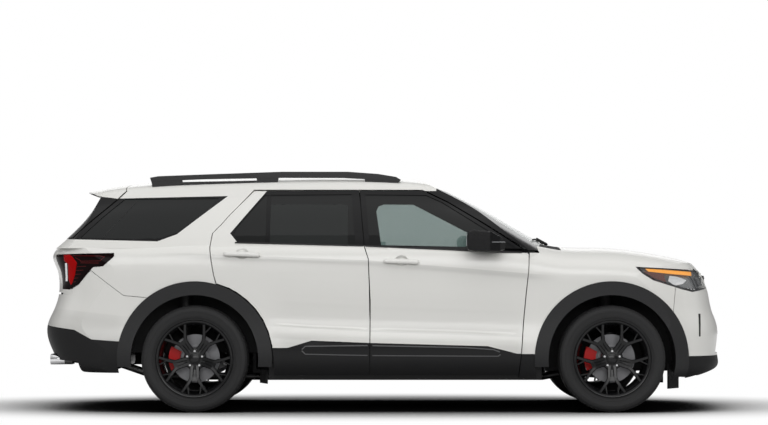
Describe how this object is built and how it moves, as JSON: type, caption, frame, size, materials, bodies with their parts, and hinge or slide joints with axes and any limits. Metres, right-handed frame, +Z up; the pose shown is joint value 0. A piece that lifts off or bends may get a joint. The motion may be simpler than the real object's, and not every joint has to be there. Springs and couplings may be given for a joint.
{
  "type": "mid-size three-row sport utility vehicle",
  "caption": "White mid-size SUV with black arch cladding, privacy glass, roof rails, dark split-spoke wheels and red calipers; doors, hood, tailgate and steering move.",
  "frame": {"origin": "on the ground, at mid length and mid width", "axes": "+X forward, +Y left, +Z up"},
  "size_m": [5.0536, 2.268, 1.7599],
  "materials": {
    "paint": "gloss white paint",
    "underbody": "satin black",
    "black_trim": "grained black plastic",
    "gloss_black": "gloss black",
    "dark_glass": "privacy tint",
    "clear_glass": "light green tint",
    "lamp_lens": "clear lens",
    "lamp_red": "dark red lens",
    "cast_black": "black coated",
    "caliper_red": "red caliper paint",
    "cast_metal": "cast",
    "steel": "stainless",
    "cabin_trim": "soft-touch trim",
    "leather": "dark leather",
    "wheel_black": "gloss black wheel paint",
    "tyre": "tyre rubber"
  },
  "bodies": {
    "body": {"floor_pan": "underbody", "roof": "paint", "side_left": "paint", "side_right": "paint", "fender_left": "paint", "fender_right": "paint", "front_bumper": "paint", "grille": "black_trim", "rear_bumper": "paint", "fixed_glass": "clear_glass", "headlamps": "lamp_lens", "tail_lamps": "lamp_red", "roof_rails": "black_trim", "cladding": "black_trim", "front_suspension": "cast_black", "rear_suspension": "cast_black", "engine": "cast_metal", "exhaust": "steel", "driveline": "cast_black", "dashboard": "cabin_trim", "steering_wheel": "cabin_trim", "seats": "leather"},
    "hood_lid": {"hood": "paint"},
    "tail_lid": {"tailgate": "paint", "tailgate_glass": "dark_glass"},
    "door_front_left_leaf": {"door_front_left": "paint", "glass_front_left": "clear_glass", "mirror_left": "gloss_black"},
    "door_rear_left_leaf": {"door_rear_left": "paint", "glass_rear_left": "dark_glass"},
    "steer_left": {"knuckle_left": "caliper_red"},
    "wheel_front_left": {"rim_front_left": "wheel_black", "tyre_front_left": "tyre"},
    "wheel_rear_left": {"rim_rear_left": "wheel_black", "tyre_rear_left": "tyre"},
    "door_front_right_leaf": {"door_front_right": "paint", "glass_front_right": "clear_glass", "mirror_right": "gloss_black"},
    "door_rear_right_leaf": {"door_rear_right": "paint", "glass_rear_right": "dark_glass"},
    "steer_right": {"knuckle_right": "caliper_red"},
    "wheel_front_right": {"rim_front_right": "wheel_black", "tyre_front_right": "tyre"},
    "wheel_rear_right": {"rim_rear_right": "wheel_black", "tyre_rear_right": "tyre"}
  },
  "joints": [
    {"name": "hood_hinge", "type": "hinge", "parent": "body", "child": "hood_lid", "pos_m": [1.24, 0, 1.178], "axis": [0, -1, 0], "range_deg": [0, 45]},
    {"name": "tailgate_hinge", "type": "hinge", "parent": "body", "child": "tail_lid", "pos_m": [-1.822, 0, 1.64], "axis": [0, 1, 0], "range_deg": [0, 82]},
    {"name": "door_front_left_hinge", "type": "hinge", "parent": "body", "child": "door_front_left_leaf", "pos_m": [1.152, 0.934, 0.75], "axis": [0, 0, -1], "range_deg": [0, 62]},
    {"name": "door_rear_left_hinge", "type": "hinge", "parent": "body", "child": "door_rear_left_leaf", "pos_m": [-0.028, 0.934, 0.75], "axis": [0, 0, -1], "range_deg": [0, 64]},
    {"name": "steer_left_pivot", "type": "hinge", "parent": "body", "child": "steer_left", "pos_m": [1.662, 0.728, 0.388], "axis": [0, 0, 1], "range_deg": [-34, 34]},
    {"name": "spin_front_left", "type": "hinge", "parent": "steer_left", "child": "wheel_front_left", "pos_m": [1.662, 0.85, 0.388], "axis": [0, 1, 0], "continuous": true},
    {"name": "spin_rear_left", "type": "hinge", "parent": "body", "child": "wheel_rear_left", "pos_m": [-1.363, 0.85, 0.388], "axis": [0, 1, 0], "continuous": true},
    {"name": "door_front_right_hinge", "type": "hinge", "parent": "body", "child": "door_front_right_leaf", "pos_m": [1.152, -0.934, 0.75], "axis": [0, 0, 1], "range_deg": [0, 62]},
    {"name": "door_rear_right_hinge", "type": "hinge", "parent": "body", "child": "door_rear_right_leaf", "pos_m": [-0.028, -0.934, 0.75], "axis": [0, 0, 1], "range_deg": [0, 64]},
    {"name": "steer_right_pivot", "type": "hinge", "parent": "body", "child": "steer_right", "pos_m": [1.662, -0.728, 0.388], "axis": [0, 0, 1], "range_deg": [-34, 34]},
    {"name": "spin_front_right", "type": "hinge", "parent": "steer_right", "child": "wheel_front_right", "pos_m": [1.662, -0.85, 0.388], "axis": [0, 1, 0], "continuous": true},
    {"name": "spin_rear_right", "type": "hinge", "parent": "body", "child": "wheel_rear_right", "pos_m": [-1.363, -0.85, 0.388], "axis": [0, 1, 0], "continuous": true}
  ],
  "couplings": [
    {"joint": "steer_right_pivot", "follows": "steer_left_pivot", "ratio": 1}
  ]
}
